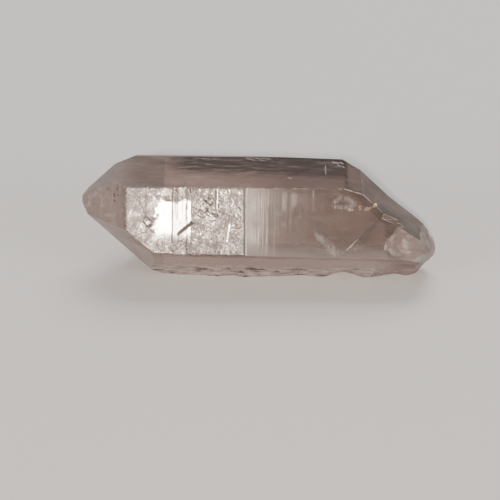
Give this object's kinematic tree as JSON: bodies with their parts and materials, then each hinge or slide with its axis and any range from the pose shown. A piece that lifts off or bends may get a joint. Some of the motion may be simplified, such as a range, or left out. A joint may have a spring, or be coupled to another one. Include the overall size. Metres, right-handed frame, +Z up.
{
  "type": "quartz point",
  "caption": "Long six-sided quartz crystal with a pointed tip and a broken end, lying on a prism face.",
  "frame": {"origin": "middle of the underside: the centre of the crystal's bounding rectangle seen from above, on the surface it rests on", "axes": "+X along the long axis of the prism, from the pointed tip toward the broken end; +Z up, out of the level prism face on top; +Y toward the back, away from the viewer of the picture"},
  "size_m": [0.0798, 0.0278, 0.0221],
  "materials": {
    "clear_quartz": "clear to slightly milky quartz, glossy growth faces with fine lines and pits, satin broken surfaces"
  },
  "bodies": {
    "root": {"quartz_crystal": "clear_quartz"}
  },
  "joints": []
}
